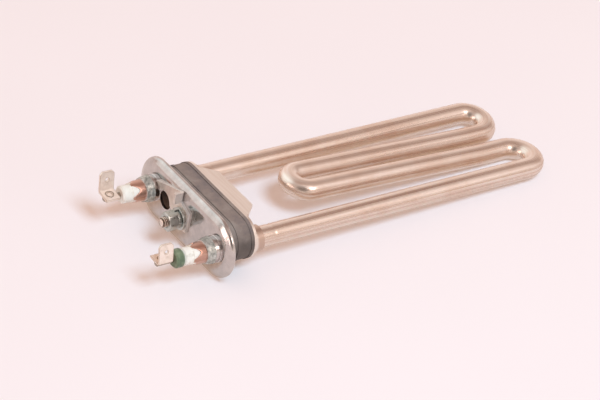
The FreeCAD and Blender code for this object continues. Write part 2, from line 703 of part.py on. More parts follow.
# Earth tab: sheet under the nut, cut round the sensor hole, with a lug turned out at its peak.

earth = new_body("earth_tab")
earth_outline = sketch_on(earth, "earth_outline", "YZ_Plane", "earth_x")
draw_outline(earth_outline, [("-earth_foot", "-earth_foot"), ("earth_foot", "-earth_foot"),
                             ("earth_hip_y", "0"), ("earth_low_y", "earth_low_z"),
                             ("earth_far_y", "earth_far_z"), ("earth_peak_y", "earth_peak_z"),
                             ("earth_turn_y", "earth_peak_z"), ("earth_turn_y", "earth_turn_z"),
                             ("-earth_foot", "earth_foot")])
pad(earth, earth_outline, "earth_sheet")
lug = sketch_on(earth, "lug_section", "YZ_Plane", "earth_x")
draw_outline(lug, [("earth_turn_y", "earth_turn_z"), ("earth_peak_y", "earth_turn_z"),
                   ("earth_peak_y", "earth_peak_z"), ("earth_turn_y", "earth_peak_z")])
pad(earth, lug, "lug_long", back=True)


def upright_edge(edge, x, y):
    """True for an edge along Z at x and y."""
    box = edge.BoundBox
    return lies_at_x(edge, x) and near(box.YMin, y) and near(box.YMax, y)


round_edges(earth, "lug_fold_inside", "lug_bend",
            lambda edge: upright_edge(edge, size("earth_x"), size("earth_peak_y")))
round_edges(earth, "lug_fold_outside", "lug_round",
            lambda edge: upright_edge(edge, size("face_x"), size("earth_turn_y")))
earth_holes = sketch_on(earth, "earth_holes", "YZ_Plane")
draw_circle(earth_holes, "0", "0", "stud_hole_r")
pocket(earth, earth_holes)
sensor_cut = sketch_on(earth, "sensor_cut", "YZ_Plane")
draw_circle(sensor_cut, "sensor_y", "0", "earth_hole_r")
pocket(earth, sensor_cut)

# Plain washer

washer = new_body("plain_washer")
washer_section = sketch_on(washer, "washer_section", "YZ_Plane", "washer_x")
draw_circle(washer_section, "0", "0", "washer_r")
draw_circle(washer_section, "0", "0", "stud_hole_r")
pad(washer, washer_section, "washer_thick")

# Spring washer, slit on its upper side

spring = new_body("spring_washer")
spring_section = sketch_on(spring, "spring_section", "YZ_Plane", "spring_x")
draw_circle(spring_section, "0", "0", "spring_r")
draw_circle(spring_section, "0", "0", "stud_hole_r")
pad(spring, spring_section, "spring_thick")
slit = sketch_on(spring, "slit_section", "YZ_Plane", "spring_x")
draw_outline(slit, [("0", "stud_r"), ("spring_slit", "stud_r"),
                    ("spring_slit", "washer_r"), ("0", "washer_r")])
pocket(spring, slit, "spring_thick")

# Nut: a hexagon with two corners level with the stud, turned down on its outer side.

nut = new_body("clamp_nut")
hexagon = sketch_on(nut, "nut_section", "YZ_Plane", "nut_x")
corner_r = size("nut_corner_r")
corners = [Vector(corner_r * math.cos(i * math.pi / 3), corner_r * math.sin(i * math.pi / 3), 0)
           for i in range(6)]
for i in range(6):
    hexagon.addGeometry(Part.LineSegment(corners[i], corners[(i + 1) % 6]))
for i in range(6):
    hexagon.addConstraint(Sketcher.Constraint("Coincident", i, 2, (i + 1) % 6, 1))
ring = hexagon.addGeometry(Part.Circle(Vector(0, 0, 0), Vector(0, 0, 1), corner_r), True)
bind(hexagon, "Radius", (ring,), "nut_corner_r")
hexagon.addConstraint(Sketcher.Constraint("Coincident", ring, 3, -1, 1))
for i in range(6):
    hexagon.addConstraint(Sketcher.Constraint("PointOnObject", i, 1, ring))
for i in range(5):
    hexagon.addConstraint(Sketcher.Constraint("Equal", i, i + 1))
hexagon.addConstraint(Sketcher.Constraint("PointOnObject", 0, 1, -1))
pad(nut, hexagon, "nut_thick")
bevel = sketch_on(nut, "nut_bevel", "XY_Plane")
draw_outline(bevel, [("nut_x", "nut_face_r"), ("nut_bevel_x", "nut_past_r"), ("nut_x", "nut_past_r")])
turned_down = nut.newObject("PartDesign::Groove", "nut_turned_down")
turned_down.Profile = bevel
turned_down.ReferenceAxis = (bevel, ["H_Axis"])
doc.recompute()
nut_bore = sketch_on(nut, "nut_bore", "YZ_Plane")
draw_circle(nut_bore, "0", "0", "stud_r")
pocket(nut, nut_bore)

# Every sub-part is checked before anything is written.

doc.recompute()
nodes = [
    sheath_tube, magnesia_filling, heating_coil,
    *pins.values(), *seals.values(), *insulators.values(), *tabs.values(),
    insulator_cap, flange, gasket, clamp, stud, earth, washer, spring, nut,
]
for item in doc.Objects:
    if "Invalid" in item.State or "Error" in item.State:
        raise RuntimeError(f"{item.Label} failed: {item.State}")
for node in nodes:
    shape = node.Shape
    if shape.isNull() or not shape.isValid() or len(shape.Solids) != 1:
        raise RuntimeError(f"{node.Label} has no sound single solid")

os.makedirs("parts", exist_ok=True)
for node in nodes:
    node.Shape.exportStep(f"parts/{node.Label}.step")
    box = node.Shape.BoundBox
    span = f"{box.XLength:.1f} x {box.YLength:.1f} x {box.ZLength:.1f}"
    print(f"{node.Label}: {span} mm, {node.Shape.Volume:.1f} mm3")
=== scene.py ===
# A washing machine's tubular water heater, lying on a pale table: the looks round its solids.
# Metres, in the part's own frame: +X from the terminals to the far bends, +Y to the far leg,
# +Z up. Lengths are written in millimetres, and MM turns them into metres.

import math

import bmesh
import bpy
from mathutils import Matrix, Vector


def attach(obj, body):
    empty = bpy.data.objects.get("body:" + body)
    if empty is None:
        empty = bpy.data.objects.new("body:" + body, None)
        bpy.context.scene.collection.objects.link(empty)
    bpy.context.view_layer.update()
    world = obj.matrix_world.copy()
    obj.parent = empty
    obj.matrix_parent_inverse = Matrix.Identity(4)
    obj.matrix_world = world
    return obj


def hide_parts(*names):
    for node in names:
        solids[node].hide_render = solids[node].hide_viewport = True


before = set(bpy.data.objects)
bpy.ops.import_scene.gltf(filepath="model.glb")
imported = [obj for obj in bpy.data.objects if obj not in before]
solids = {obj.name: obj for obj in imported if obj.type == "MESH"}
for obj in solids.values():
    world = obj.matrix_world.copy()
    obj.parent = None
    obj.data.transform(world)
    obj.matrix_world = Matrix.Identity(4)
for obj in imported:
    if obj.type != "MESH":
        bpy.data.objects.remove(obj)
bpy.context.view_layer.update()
MM = 0.001


# Sheath: thin stainless tube, drawn, welded along its length and annealed after bending.
# It is bent into two outer legs and a closer inner loop. Both ends are cut to four points,
# pressed round the ceramic insulators, and each leg has a shallow ring pressed into it.

LEG_Y = 21.9
TUBE_R = 4.25
TUBE_BORE_R = 3.75
FAR_BEND_X = 145.7
NEAR_BEND_X = 148.3
MIDDLE_BEND_X = 54.1
INNER_FAR_Y = 7.0
INNER_NEAR_Y = -5.4
INNER_LOW_Z = -1.0
INNER_HIGH_Z = 2.6
SLOPE_START_X = FAR_BEND_X - 8.0
BEND_STEPS = 36
AROUND = 96

OPEN_END_X = -8.5
CROWN_X = -13.6
NOTCH_X = -10.7
NOTCH_TURN = 49.0
NOTCH_HALF = 2.7
CUT_EASE = 0.1
PRESS_START_X = -9.5
PRESSED_IN = 0.2

RING_X = 23.1
RING_DEPTH = 0.11
RING_HALF = 0.6


def turns(count):
    """Angles spaced evenly round a full turn."""
    return [2 * math.pi * i / count for i in range(count)]


def bend_points(first, last, away):
    """A half round from first to last that bulges towards away, without its first point."""
    centre = (first + last) / 2
    side = first - centre
    out = away * side.length
    angles = [math.pi * (i + 1) / BEND_STEPS for i in range(BEND_STEPS)]
    return [centre + side * math.cos(a) + out * math.sin(a) for a in angles]


def sheath_route():
    """The tube's centreline as points, from the far terminal end to the near one."""
    x_dir = Vector((1, 0, 0))
    inner_far = Vector((FAR_BEND_X, INNER_FAR_Y, INNER_LOW_Z))
    inner_near = Vector((NEAR_BEND_X, INNER_NEAR_Y, INNER_LOW_Z))
    far_start = Vector((SLOPE_START_X, INNER_FAR_Y, INNER_LOW_Z))
    near_start = Vector((SLOPE_START_X, INNER_NEAR_Y, INNER_LOW_Z))
    far_top = Vector((MIDDLE_BEND_X, INNER_FAR_Y, INNER_HIGH_Z))
    near_top = Vector((MIDDLE_BEND_X, INNER_NEAR_Y, INNER_HIGH_Z))
    slope = (far_top - far_start).normalized()
    leg_x = [OPEN_END_X, -4.0, 10.0, 18.0] + [RING_X + 0.3 * step for step in range(-5, 6)]
    leg_x += [26.0, 40.0, 70.0, 100.0, 130.0]
    level = [Vector((along, 0, 0)) for along in (4.0, 2.0, 1.0)]
    rising = [slope * along for along in (1.0, 3.0, 12.0, 30.0, 50.0, 70.0)]
    points = [Vector((x, LEG_Y, 0)) for x in leg_x + [FAR_BEND_X]]
    points += bend_points(points[-1], inner_far, x_dir)
    points += [far_start + step for step in level + rising] + [far_top]
    points += bend_points(far_top, near_top, slope)
    points += [near_start + step for step in reversed(level + rising)] + [inner_near]
    points += bend_points(inner_near, Vector((NEAR_BEND_X, -LEG_Y, 0)), x_dir)
    points += [Vector((x, -LEG_Y, 0)) for x in reversed(leg_x)]
    return points


def tube_loop(centre, tangent, radius):
    """One loop of points round the tube's centreline."""
    up = (Vector((0, 0, 1)) - tangent * tangent.z).normalized()
    side = up.cross(tangent)
    return [centre + side * math.cos(a) * radius + up * math.sin(a) * radius for a in turns(AROUND)]


def crown_edge(angle):
    """The x of the sheath's cut end at an angle round the leg: four notches with round roots."""
    quarter = (math.degrees(angle) - 90 - NOTCH_TURN + 45) % 90 - 45
    across = abs(math.radians(quarter)) * TUBE_R / NOTCH_HALF
    return CROWN_X + (NOTCH_X - CROWN_X) * max(0.0, 1 - across ** 1.5)


def crown_loops(y):
    """The loops of a leg's pointed end, from the tube's wall over the cut edge into the bore."""
    hand = 1 if y > 0 else -1
    wall = [(TUBE_R, 0.75), (TUBE_R, 0.5), (TUBE_R, 0.25), (TUBE_R, 0.08), (TUBE_R - CUT_EASE, 0.0),
            (TUBE_BORE_R + CUT_EASE, 0.0), (TUBE_BORE_R, 0.08), (TUBE_BORE_R, 0.5), (TUBE_BORE_R, 1.0)]
    loops = []
    for radius, share in wall:
        loop = []
        for angle in turns(AROUND):
            edge = crown_edge(angle if hand > 0 else math.pi - angle)
            x = edge + (OPEN_END_X - edge) * share
            pressed = max(0.0, (PRESS_START_X - x) / (PRESS_START_X - CROWN_X)) ** 1.5
            out = radius - PRESSED_IN * pressed
            loop.append(Vector((x, y + math.cos(angle) * out * hand, math.sin(angle) * out)))
        loops.append(loop)
    return loops


def loft(name, loops, smooth_angle=35, last_meets_first=False, unrolled=None):
    """A mesh object in metres over closed loops of points in millimetres, smooth up to an angle.

    The first and last loops are closed with a face each, unless they meet. The list unrolled
    gives each point a second place, on the straightened piece, that a material can read.
    """
    count = len(loops[0])
    pairs = list(zip(range(len(loops) - 1), range(1, len(loops))))
    faces = []
    if last_meets_first:
        pairs.append((len(loops) - 1, 0))
    else:
        faces.append(tuple(range(count)))
        faces.append(tuple(range(count * (len(loops) - 1), count * len(loops))))
    for first, second in pairs:
        for i in range(count):
            j = (i + 1) % count
            faces.append((first * count + i, first * count + j, second * count + j, second * count + i))
    mesh = bpy.data.meshes.new(name)
    mesh.from_pydata([Vector(point) * MM for loop in loops for point in loop], [], faces)
    if unrolled:
        flat = mesh.attributes.new("unrolled", "FLOAT_VECTOR", "POINT")
        flat.data.foreach_set("vector", [value * MM for point in unrolled for value in point])
    mesh.update()
    built = bmesh.new()
    built.from_mesh(mesh)
    bmesh.ops.recalc_face_normals(built, faces=built.faces)
    built.to_mesh(mesh)
    built.free()
    mesh.shade_smooth()
    mesh.set_sharp_from_angle(angle=math.radians(smooth_angle))
    piece = bpy.data.objects.new(name, mesh)
    bpy.context.scene.collection.objects.link(piece)
    return piece


route = sheath_route()
loops = list(reversed(crown_loops(LEG_Y)))
travels = [[point.x for point in loop] for loop in loops]
travelled = OPEN_END_X
for i, point in enumerate(route):
    before = route[max(i - 1, 0)]
    after = route[min(i + 1, len(route) - 1)]
    travelled += (point - before).length
    dent = RING_DEPTH * math.exp(-((point.x - RING_X) / RING_HALF) ** 2)
    loops.append(tube_loop(point, (after - before).normalized(), TUBE_R - dent))
    travels.append([travelled] * AROUND)
for loop in crown_loops(-LEG_Y):
    loops.append(loop)
    travels.append([travelled + OPEN_END_X - point.x for point in loop])
unrolled = []
for travel in travels:
    for along, angle in zip(travel, turns(AROUND)):
        unrolled.append((along, math.cos(angle) * TUBE_R, math.sin(angle) * TUBE_R))
sheath = loft("sheath_skin", loops, unrolled=unrolled)

# Annealed stainless steel: bright drawn metal with a thin warm oxide, so it reads champagne, and
# redder where the open ends got hot. Drawing leaves lines along the tube. The real ones are about
# 0.1 mm apart, and these are drawn about 1 mm apart, which shows. They follow the bends, as they
# lie on the unrolled tube.

HEATED_LONG = 1.5
FACTOR, COLOUR_A, COLOUR_B, MIXED = 0, 6, 7, 2


def hex_colour(code):
    """An sRGB colour, written as six hex digits, in linear light."""
    channels = [int(code[i:i + 2], 16) / 255 for i in (0, 2, 4)]
    linear = [c / 12.92 if c <= 0.04045 else ((c + 0.055) / 1.055) ** 2.4 for c in channels]
    return (*linear, 1.0)


def scale_of(size):
    """The scale that gives a pattern marks of a size in millimetres."""
    return 1 / (size * MM)


def add_node(material, kind, inputs=None, stops=(), **settings):
    """A node with its own settings, and a value or another node's output for each input.

    The sockets of a colour mix share their names, so they go by the numbers FACTOR, COLOUR_A,
    COLOUR_B and MIXED. A colour ramp has stops, each a position and a hex colour.
    """
    node = material.node_tree.nodes.new(kind)
    for name, value in settings.items():
        setattr(node, name, value)
    for name, value in (inputs or {}).items():
        if isinstance(value, bpy.types.NodeSocket):
            material.node_tree.links.new(value, node.inputs[name])
        else:
            node.inputs[name].default_value = value
    for _ in stops[2:]:
        node.color_ramp.elements.new(0.5)
    for i, (position, code) in enumerate(stops):
        node.color_ramp.elements[i].position = position
        node.color_ramp.elements[i].color = hex_colour(code)
    return node


def new_material(name):
    """A material with no nodes yet."""
    material = bpy.data.materials.new(name)
    material.use_nodes = True
    material.node_tree.nodes.clear()
    return material


def finish_material(material, inputs):
    """Ends a material in the shader that every surface of the heater has, with its inputs."""
    shader = add_node(material, "ShaderNodeBsdfPrincipled", inputs)
    add_node(material, "ShaderNodeOutputMaterial", {"Surface": shader.outputs["BSDF"]})


def finish_piece(piece, material, slot, *replaced):
    """Gives a piece its material and the solid that it stands for. The slot is not used."""
    piece.data.materials.clear()
    piece.data.materials.append(material)
    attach(piece, "root")
    for solid in replaced:
        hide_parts(solid)


steel = new_material("annealed_stainless_sheath")
flat = add_node(steel, "ShaderNodeAttribute", attribute_name="unrolled").outputs["Vector"]
place = add_node(steel, "ShaderNodeTexCoord").outputs["Object"]
stretched = add_node(steel, "ShaderNodeMapping", {
    "Vector": flat, "Scale": (scale_of(83.3), scale_of(1.11), scale_of(1.11))})
drawn = add_node(steel, "ShaderNodeTexNoise", {
    "Vector": stretched.outputs["Vector"], "Scale": 1.0, "Detail": 4.0})
patches = add_node(steel, "ShaderNodeTexNoise", {
    "Vector": place, "Scale": scale_of(14.3), "Detail": 5.0, "Roughness": 0.65})
lines = add_node(steel, "ShaderNodeValToRGB", {"Fac": drawn.outputs["Fac"]},
                 [(0.32, "DFCEC5"), (0.5, "F0E2D9"), (0.68, "F9F0EB")])
warm = add_node(steel, "ShaderNodeValToRGB", {"Fac": patches.outputs["Fac"]},
                [(0.35, "F2E6DE"), (0.55, "FFFFFF")])
oxide = add_node(steel, "ShaderNodeMix", {
    FACTOR: 0.6, COLOUR_A: lines.outputs["Color"], COLOUR_B: warm.outputs["Color"]},
    data_type="RGBA", blend_type="MULTIPLY")
along = add_node(steel, "ShaderNodeSeparateXYZ", {0: place})
heated = add_node(steel, "ShaderNodeMapRange", {
    "Value": along.outputs["X"], "From Min": (OPEN_END_X + HEATED_LONG) * MM,
    "From Max": OPEN_END_X * MM, "To Max": 0.7})
skin = add_node(steel, "ShaderNodeMix", {
    FACTOR: heated.outputs["Result"], COLOUR_A: oxide.outputs[MIXED], COLOUR_B: hex_colour("D3A79B")},
    data_type="RGBA", blend_type="MULTIPLY")
polish = add_node(steel, "ShaderNodeMapRange", {
    "Value": drawn.outputs["Fac"], "To Min": 0.22, "To Max": 0.34})
grooves = add_node(steel, "ShaderNodeBump", {
    "Height": drawn.outputs["Fac"], "Strength": 0.2, "Distance": 0.04 * MM})
finish_material(steel, {
    "Base Color": skin.outputs[MIXED], "Metallic": 1.0, "Roughness": polish.outputs["Result"],
    "Normal": grooves.outputs["Normal"]})
finish_piece(sheath, steel, "sheath_steel", "sheath_tube")


# Inside the sheath: a wound resistance wire in packed magnesia powder, closed behind each
# insulator by cast silicone. None of it shows from outside.

# The powder is white and dusty, the wire dark and half dull from its oxide, and the silicone a
# plain tan. The numbers are the grain's size in millimetres, the metallic and the roughness.

hidden_finishes = [
    ("packed_magnesia_powder", "magnesia_filling", 0.667, "DAD6CE", "F2EFE9", 0.0, 0.9),
    ("oxidised_resistance_wire", "heating_coil", 1.11, "5B5654", "7C7673", 1.0, 0.5),
    ("cast_silicone_seal_far", "end_seal_far", 2.5, "C3B4A4", "D8CCBE", 0.0, 0.5),
    ("cast_silicone_seal_near", "end_seal_near", 2.5, "C3B4A4", "D8CCBE", 0.0, 0.5),
]


def dress_solid(node, material):
    """A solid whose shape is right keeps its mesh and gets a finish."""
    mesh = solids[node].data
    mesh.materials.clear()
    mesh.materials.append(material)


for name, node, size, dark, light, metallic, roughness in hidden_finishes:
    hidden = new_material(name)
    place = add_node(hidden, "ShaderNodeTexCoord").outputs["Object"]
    grain = add_node(hidden, "ShaderNodeTexNoise", {
        "Vector": place, "Scale": scale_of(size), "Detail": 4.0})
    tint = add_node(hidden, "ShaderNodeValToRGB", {"Fac": grain.outputs["Fac"]},
                    [(0.35, dark), (0.65, light)])
    finish_material(hidden, {
        "Base Color": tint.outputs["Color"], "Metallic": metallic, "Roughness": roughness})
    dress_solid(node, hidden)


# Flange: stadium pressed from bright zinc-plated steel, with a border that slopes back to the
# rim. Its two collars are rolled on to the legs, so they narrow to their front and have uneven
# rings. The solid's collars are straight, and a copy of it is narrowed here.

COLLAR_R = 5.45
COLLAR_ROOT_X = -4.2
COLLAR_FRONT_X = -8.1
COLLAR_FRONT_WALL = 0.42


def rolled_radius(radius, x):
    """A collar's radius at x once its wall is rolled down towards its front."""
    share = max(0.0, min(1.0, (COLLAR_ROOT_X - x) / (COLLAR_ROOT_X - COLLAR_FRONT_X)))
    return TUBE_R + (radius - TUBE_R) * (1 - share * (1 - COLLAR_FRONT_WALL))


pressed = solids["flange_plate"].data.copy()
for vertex in pressed.vertices:
    x, y, z = vertex.co / MM
    leg_y = math.copysign(LEG_Y, y)
    away = math.hypot(y - leg_y, z)
    if x < COLLAR_ROOT_X and away > TUBE_R:
        scale = rolled_radius(away, x) / away
        vertex.co = Vector((x, leg_y + (y - leg_y) * scale, z * scale)) * MM
flange = bpy.data.objects.new("pressed_flange", pressed)
bpy.context.scene.collection.objects.link(flange)

# Bright zinc plate: a mirror dulled by faint cloudy handling marks, a little rippled by the
# press. Its edges are painted lighter, a painted highlight. How near an edge a point lies is
# told from the angle between the surface and the same surface with its edge rounded: it starts
# at one cosine and is full at the other.

EDGE_SHARE_STARTS = 0.99
EDGE_SHARE_FULL = 0.8


def edge_wear_and_highlight(material, width):
    """How near a point is to a sharp edge, from 0 to 1 within a width in millimetres."""
    rounded = add_node(material, "ShaderNodeBevel", {"Radius": width * MM}, samples=8)
    sharp = add_node(material, "ShaderNodeNewGeometry")
    turned = add_node(material, "ShaderNodeVectorMath", {
        0: rounded.outputs["Normal"], 1: sharp.outputs["Normal"]}, operation="DOT_PRODUCT")
    share = add_node(material, "ShaderNodeMapRange", {
        "Value": turned.outputs["Value"], "From Min": EDGE_SHARE_STARTS, "From Max": EDGE_SHARE_FULL})
    return share.outputs["Result"]


zinc = new_material("bright_zinc_plate")
place = add_node(zinc, "ShaderNodeTexCoord").outputs["Object"]
cloud = add_node(zinc, "ShaderNodeTexNoise", {
    "Vector": place, "Scale": scale_of(6.25), "Detail": 5.0, "Roughness": 0.65})
tint = add_node(zinc, "ShaderNodeValToRGB", {"Fac": cloud.outputs["Fac"]},
                [(0.3, "BDB8B8"), (0.52, "D0CBCB"), (0.75, "DFDBDB")])
haze = add_node(zinc, "ShaderNodeMapRange", {
    "Value": cloud.outputs["Fac"], "To Min": 0.06, "To Max": 0.22})
# Painted highlight: the plate's edges are mixed towards white.
plate = add_node(zinc, "ShaderNodeMix", {
    FACTOR: edge_wear_and_highlight(zinc, 0.45), COLOUR_A: tint.outputs["Color"], COLOUR_B: hex_colour("FFFFFF")},
    data_type="RGBA")
ripple = add_node(zinc, "ShaderNodeTexNoise", {"Vector": place, "Scale": scale_of(3.85), "Detail": 2.0})
press = add_node(zinc, "ShaderNodeBump", {
    "Height": ripple.outputs["Fac"], "Strength": 0.12, "Distance": 0.1 * MM})
finish_material(zinc, {
    "Base Color": plate.outputs[MIXED], "Metallic": 1.0, "Roughness": haze.outputs["Result"],
    "Normal": press.outputs["Normal"]})
finish_piece(flange, zinc, "flange_steel", "flange_plate")

# Rolled zinc: the same plate where the roller broke it up, greyer, duller and chipped.

rolled_zinc = new_material("rolled_zinc_collar")
place = add_node(rolled_zinc, "ShaderNodeTexCoord").outputs["Object"]
broken = add_node(rolled_zinc, "ShaderNodeTexNoise", {
    "Vector": place, "Scale": scale_of(1.11), "Detail": 4.0})
tint = add_node(rolled_zinc, "ShaderNodeValToRGB", {"Fac": broken.outputs["Fac"]},
                [(0.32, "8E918C"), (0.5, "B8BAB4"), (0.7, "DCDDD8")])
haze = add_node(rolled_zinc, "ShaderNodeMapRange", {
    "Value": broken.outputs["Fac"], "To Min": 0.28, "To Max": 0.5})
chips = add_node(rolled_zinc, "ShaderNodeBump", {
    "Height": broken.outputs["Fac"], "Strength": 0.5, "Distance": 0.15 * MM})
finish_material(rolled_zinc, {
    "Base Color": tint.outputs["Color"], "Metallic": 0.7, "Roughness": haze.outputs["Result"],
    "Normal": chips.outputs["Normal"]})

ROLLED_X = (COLLAR_FRONT_X, -4.8)
ROLLED_STEPS = 30
ROLL_PITCH = 1.3
ROLL_PROUD = 0.02
ROLL_HEIGHT = 0.14
ROLL_SUNK = 0.05


def turned_loop(x, radius_at, count=48, y=0.0):
    """A loop round an axis along X at a y, whose radius depends on the angle from +Y."""
    return [(x, y + math.cos(a) * radius_at(a), math.sin(a) * radius_at(a)) for a in turns(count)]


def ring_radius(x, angle):
    """The radius of a collar's rolled skin, whose rings rise unevenly round it."""
    uneven = 0.5 + 0.28 * math.sin(5 * angle + x * 2.1) + 0.22 * math.sin(11 * angle - x * 3.0)
    wave = 0.5 - 0.5 * math.cos(2 * math.pi * (x - COLLAR_FRONT_X) / ROLL_PITCH)
    return rolled_radius(COLLAR_R, x) + ROLL_PROUD + ROLL_HEIGHT * wave * uneven


for side, y in (("far", LEG_Y), ("near", -LEG_Y)):
    loops = []
    for step in range(ROLLED_STEPS + 1):
        x = ROLLED_X[0] + (ROLLED_X[1] - ROLLED_X[0]) * step / ROLLED_STEPS
        loops.append(turned_loop(x, lambda a, x=x: ring_radius(x, a), AROUND, y))
    for x in reversed(ROLLED_X):
        loops.append(turned_loop(x, lambda a, x=x: rolled_radius(COLLAR_R, x) - ROLL_SUNK, AROUND, y))
    rolled_rings = loft("collar_rings_" + side, loops, 50, last_meets_first=True)
    finish_piece(rolled_rings, rolled_zinc, "flange_steel")


# Gasket: moulded black rubber block with two beads. Its lip sits in the flange's cup, and the
# block swells against the tub's opening when the clamp plate is drawn in.

# Moulded rubber: dull and greyish, painted paler on its upward faces as painted light from
# above, with a fine eroded grain from the mould. The grain is drawn at about 0.5 mm, as the real
# one is too fine to show.

rubber = new_material("moulded_rubber")
place = add_node(rubber, "ShaderNodeTexCoord").outputs["Object"]
bloom = add_node(rubber, "ShaderNodeTexNoise", {
    "Vector": place, "Scale": scale_of(7.7), "Detail": 6.0, "Roughness": 0.7})
black = add_node(rubber, "ShaderNodeValToRGB", {"Fac": bloom.outputs["Fac"]},
                 [(0.3, "4C443F"), (0.52, "61564F"), (0.78, "7F7269")])
surface = add_node(rubber, "ShaderNodeNewGeometry")
upward = add_node(rubber, "ShaderNodeSeparateXYZ", {0: surface.outputs["Normal"]})
# Painted light from above: faces that look up get the paler tone.
upward_share = add_node(rubber, "ShaderNodeMapRange", {
    "Value": upward.outputs["Z"], "From Min": 0.2, "To Max": 0.6})
painted_top_light = add_node(rubber, "ShaderNodeValToRGB", {"Fac": bloom.outputs["Fac"]},
                [(0.34, "877B79"), (0.5, "A08E84"), (0.64, "AC9E94")])
top_lit_rubber = add_node(rubber, "ShaderNodeMix", {
    FACTOR: upward_share.outputs["Result"], COLOUR_A: black.outputs["Color"], COLOUR_B: painted_top_light.outputs["Color"]},
    data_type="RGBA")
grain = add_node(rubber, "ShaderNodeTexNoise", {"Vector": place, "Scale": scale_of(0.455), "Detail": 3.0})
eroded = add_node(rubber, "ShaderNodeBump", {
    "Height": grain.outputs["Fac"], "Strength": 0.3, "Distance": 0.1 * MM})
finish_material(rubber, {
    "Base Color": top_lit_rubber.outputs[MIXED], "Roughness": 0.6, "Normal": eroded.outputs["Normal"]})
dress_solid("rubber_gasket", rubber)


# Clamp plate: stainless sheet behind the rubber, with a collar drawn out round each leg and a
# folded flap that stiffens it. The stud draws it against the rubber.

# Rolled stainless sheet: soft sheen, with rolling lines across the flap. The real lines are too
# fine to show, and these are drawn about 1 mm apart. Its edges are painted lighter, a painted
# highlight. The collars behind the plate are browner.

BROWN_FROM_X = (14.0, 15.0)
BROWN_FROM_Y = (16.6, 17.4)

rolled = new_material("rolled_stainless_sheet")
place = add_node(rolled, "ShaderNodeTexCoord").outputs["Object"]
stretched = add_node(rolled, "ShaderNodeMapping", {
    "Vector": place, "Scale": (scale_of(0.91), scale_of(16.7), scale_of(0.91))})
rolling = add_node(rolled, "ShaderNodeTexNoise", {
    "Vector": stretched.outputs["Vector"], "Scale": 1.0, "Detail": 4.0})
tint = add_node(rolled, "ShaderNodeValToRGB", {"Fac": rolling.outputs["Fac"]},
                [(0.3, "EFE6E0"), (0.7, "FBF6F2")])
sheen = add_node(rolled, "ShaderNodeMapRange", {
    "Value": rolling.outputs["Fac"], "To Min": 0.26, "To Max": 0.4})
# Painted highlight: the sheet's edges are mixed towards its lightest tone.
sheet = add_node(rolled, "ShaderNodeMix", {
    FACTOR: edge_wear_and_highlight(rolled, 0.2), COLOUR_A: tint.outputs["Color"], COLOUR_B: hex_colour("FBF6F2")},
    data_type="RGBA")
axes = add_node(rolled, "ShaderNodeSeparateXYZ", {0: place})
aside = add_node(rolled, "ShaderNodeMath", {0: axes.outputs["Y"]}, operation="ABSOLUTE")
beside = add_node(rolled, "ShaderNodeMapRange", {
    "Value": aside.outputs["Value"], "From Min": BROWN_FROM_Y[0] * MM, "From Max": BROWN_FROM_Y[1] * MM})
behind = add_node(rolled, "ShaderNodeMapRange", {
    "Value": axes.outputs["X"], "From Min": BROWN_FROM_X[0] * MM, "From Max": BROWN_FROM_X[1] * MM})
collar = add_node(rolled, "ShaderNodeMath", {
    0: beside.outputs["Result"], 1: behind.outputs["Result"]}, operation="MULTIPLY")
browned = add_node(rolled, "ShaderNodeMix", {
    FACTOR: collar.outputs["Value"], COLOUR_A: sheet.outputs[MIXED], COLOUR_B: hex_colour("D2BCB0")},
    data_type="RGBA")
finish_material(rolled, {
    "Base Color": browned.outputs[MIXED], "Metallic": 1.0, "Roughness": sheen.outputs["Result"]})
dress_solid("clamp_plate", rolled)


# Clamp stud: a 4 mm threaded steel stud with a flat head behind the clamp plate. Its thread's
# pitch is 0.7 mm, and it is cut where it shows.

STUD_R = 2.0
STUD_TIP_X = -12.6
TIP_CHAMFER = 0.5
TIP_SLOPE = 0.9
THREAD_END_X = -2.0
THREAD_PITCH = 0.7
THREAD_DEPTH = 0.4
THREAD_STEPS = 160
CREST_FLAT = 1.25
PLATE_BACK_X = 13.7
HEAD_BACK_X = 15.2
HEAD_R = 5.0
HEAD_ROUND = 0.3
HEAD_EASE = 0.1


def thread_radius(x, angle):
    """The threaded stud's radius: pointed ridges with a little flat on top, thinner at the tip."""
    phase = (x / THREAD_PITCH - angle / (2 * math.pi)) % 1.0
    ridge = min(1.0, CREST_FLAT * abs(2 * phase - 1))
    fade = max(0.0, min(1.0, (THREAD_END_X - x) / THREAD_PITCH))
    radius = STUD_R - THREAD_DEPTH * (1 - ridge) * fade
    return min(radius, STUD_R - TIP_CHAMFER + (x - STUD_TIP_X) * TIP_SLOPE)


loops = []
for step in range(THREAD_STEPS + 1):
    x = STUD_TIP_X + (THREAD_END_X - STUD_TIP_X) * step / THREAD_STEPS
    loops.append(turned_loop(x, lambda a, x=x: thread_radius(x, a)))
head = [(PLATE_BACK_X, STUD_R), (PLATE_BACK_X, HEAD_R - HEAD_EASE), (PLATE_BACK_X + HEAD_EASE, HEAD_R),
        (HEAD_BACK_X - HEAD_ROUND, HEAD_R), (HEAD_BACK_X - 0.3 * HEAD_ROUND, HEAD_R - 0.3 * HEAD_ROUND),
        (HEAD_BACK_X, HEAD_R - HEAD_ROUND)]
for x, radius in head:
    loops.append(turned_loop(x, lambda a, r=radius: r))
stud = loft("threaded_stud", loops, 50)

# Zinc plate: dark brown painted shade in the thread's roots, a painted highlight on the crests,
# and a light flat face on the tip.

ROOT_SHADE_ENDS_X = STUD_TIP_X + 0.04
LIGHT_TIP_X = STUD_TIP_X + 0.02

